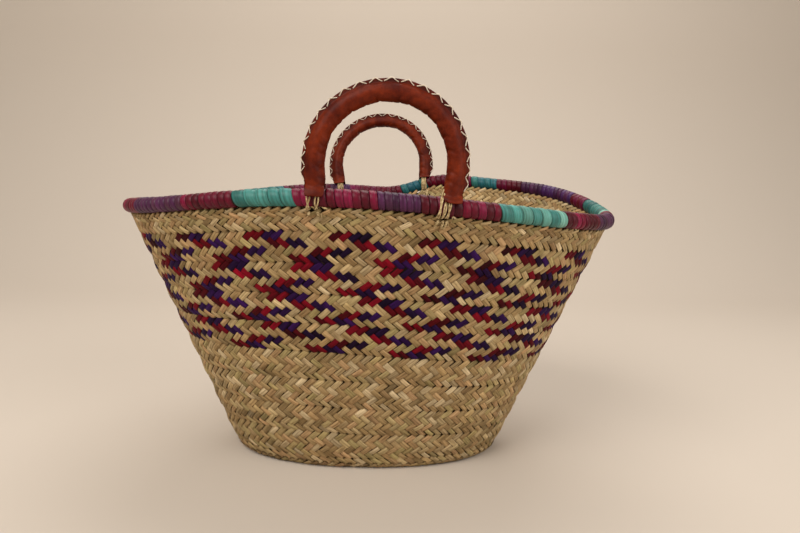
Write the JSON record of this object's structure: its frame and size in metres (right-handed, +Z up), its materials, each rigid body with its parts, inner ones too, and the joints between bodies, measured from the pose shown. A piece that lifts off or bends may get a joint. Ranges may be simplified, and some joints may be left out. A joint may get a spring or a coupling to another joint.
{
  "type": "straw market basket",
  "caption": "Oval plaited palm-leaf market basket with flaring walls, a rim bound in dyed palm strips and short laced leather handles that swing on twine lashings.",
  "frame": {"origin": "middle of the base, on the ground the basket stands on", "axes": "+Z up, +X along the long way of the oval mouth, -Y towards the side with the front handle"},
  "size_m": [0.5998, 0.4343, 0.4422],
  "materials": {
    "palm_straw": "dry plaited palm leaf, matt with a slight sheen",
    "dyed_palm": "plaited palm leaf, crimson and violet strands among natural ones",
    "palm_cord": "twisted palm fibre",
    "rim_turquoise": "dyed palm strip, satin",
    "rim_magenta": "dyed palm strip, satin",
    "rim_violet": "dyed palm strip, satin",
    "saddle_leather": "saddle brown, worn satin",
    "lace_cord": "pale cotton cord"
  },
  "bodies": {
    "bag": {"base_centre_strip": "palm_straw", "base_ring": "palm_straw", "base_turn_course": "palm_straw", "lower_course_1": "palm_straw", "lower_course_2": "palm_straw", "lower_course_3": "palm_straw", "lower_course_4": "palm_straw", "dyed_course_1": "dyed_palm", "dyed_course_2": "dyed_palm", "dyed_course_3": "dyed_palm", "dyed_course_4": "dyed_palm", "top_course": "palm_straw", "base_seam_cord_1": "palm_cord", "base_seam_cord_2": "palm_cord", "wall_seam_cord_1": "palm_cord", "wall_seam_cord_2": "palm_cord", "wall_seam_cord_3": "palm_cord", "wall_seam_cord_4": "palm_cord", "wall_seam_cord_5": "palm_cord", "wall_seam_cord_6": "palm_cord", "wall_seam_cord_7": "palm_cord", "wall_seam_cord_8": "palm_cord", "wall_seam_cord_9": "palm_cord", "rim_core": "palm_cord", "rim_band_01_turquoise": "rim_turquoise", "rim_band_02_magenta": "rim_magenta", "rim_band_03_violet": "rim_violet", "rim_band_04_magenta": "rim_magenta", "rim_band_05_turquoise": "rim_turquoise", "rim_band_06_magenta": "rim_magenta", "rim_band_07_turquoise": "rim_turquoise", "rim_band_08_magenta": "rim_magenta", "rim_band_09_violet": "rim_violet", "rim_band_10_magenta": "rim_magenta", "rim_band_11_turquoise": "rim_turquoise", "rim_band_12_magenta": "rim_magenta", "rim_band_13_violet": "rim_violet", "rim_band_14_magenta": "rim_magenta", "rim_band_15_violet": "rim_violet", "rim_band_16_magenta": "rim_magenta", "rim_band_17_turquoise": "rim_turquoise", "rim_band_18_magenta": "rim_magenta", "rim_band_19_violet": "rim_violet", "rim_band_20_magenta": "rim_magenta", "rim_band_21_turquoise": "rim_turquoise", "rim_band_22_magenta": "rim_magenta", "rim_band_23_violet": "rim_violet", "rim_band_24_magenta": "rim_magenta"},
    "front_handle": {"front_handle_core": "palm_cord", "front_handle_sleeve": "saddle_leather", "front_handle_lacing": "lace_cord", "front_left_lashing": "palm_cord", "front_right_lashing": "palm_cord"},
    "back_handle": {"back_handle_core": "palm_cord", "back_handle_sleeve": "saddle_leather", "back_handle_lacing": "lace_cord", "back_left_lashing": "palm_cord", "back_right_lashing": "palm_cord"}
  },
  "joints": [
    {"name": "front_handle_swing", "type": "hinge", "parent": "bag", "child": "front_handle", "pos_m": [0.013, -0.19384, 0.31914], "axis": [0.9986, 0.0267, -0.0453], "range_deg": [-80, 75]},
    {"name": "back_handle_swing", "type": "hinge", "parent": "bag", "child": "back_handle", "pos_m": [0.013, 0.19384, 0.33101], "axis": [-0.9951, 0.0266, -0.0953], "range_deg": [-88, 67]}
  ]
}
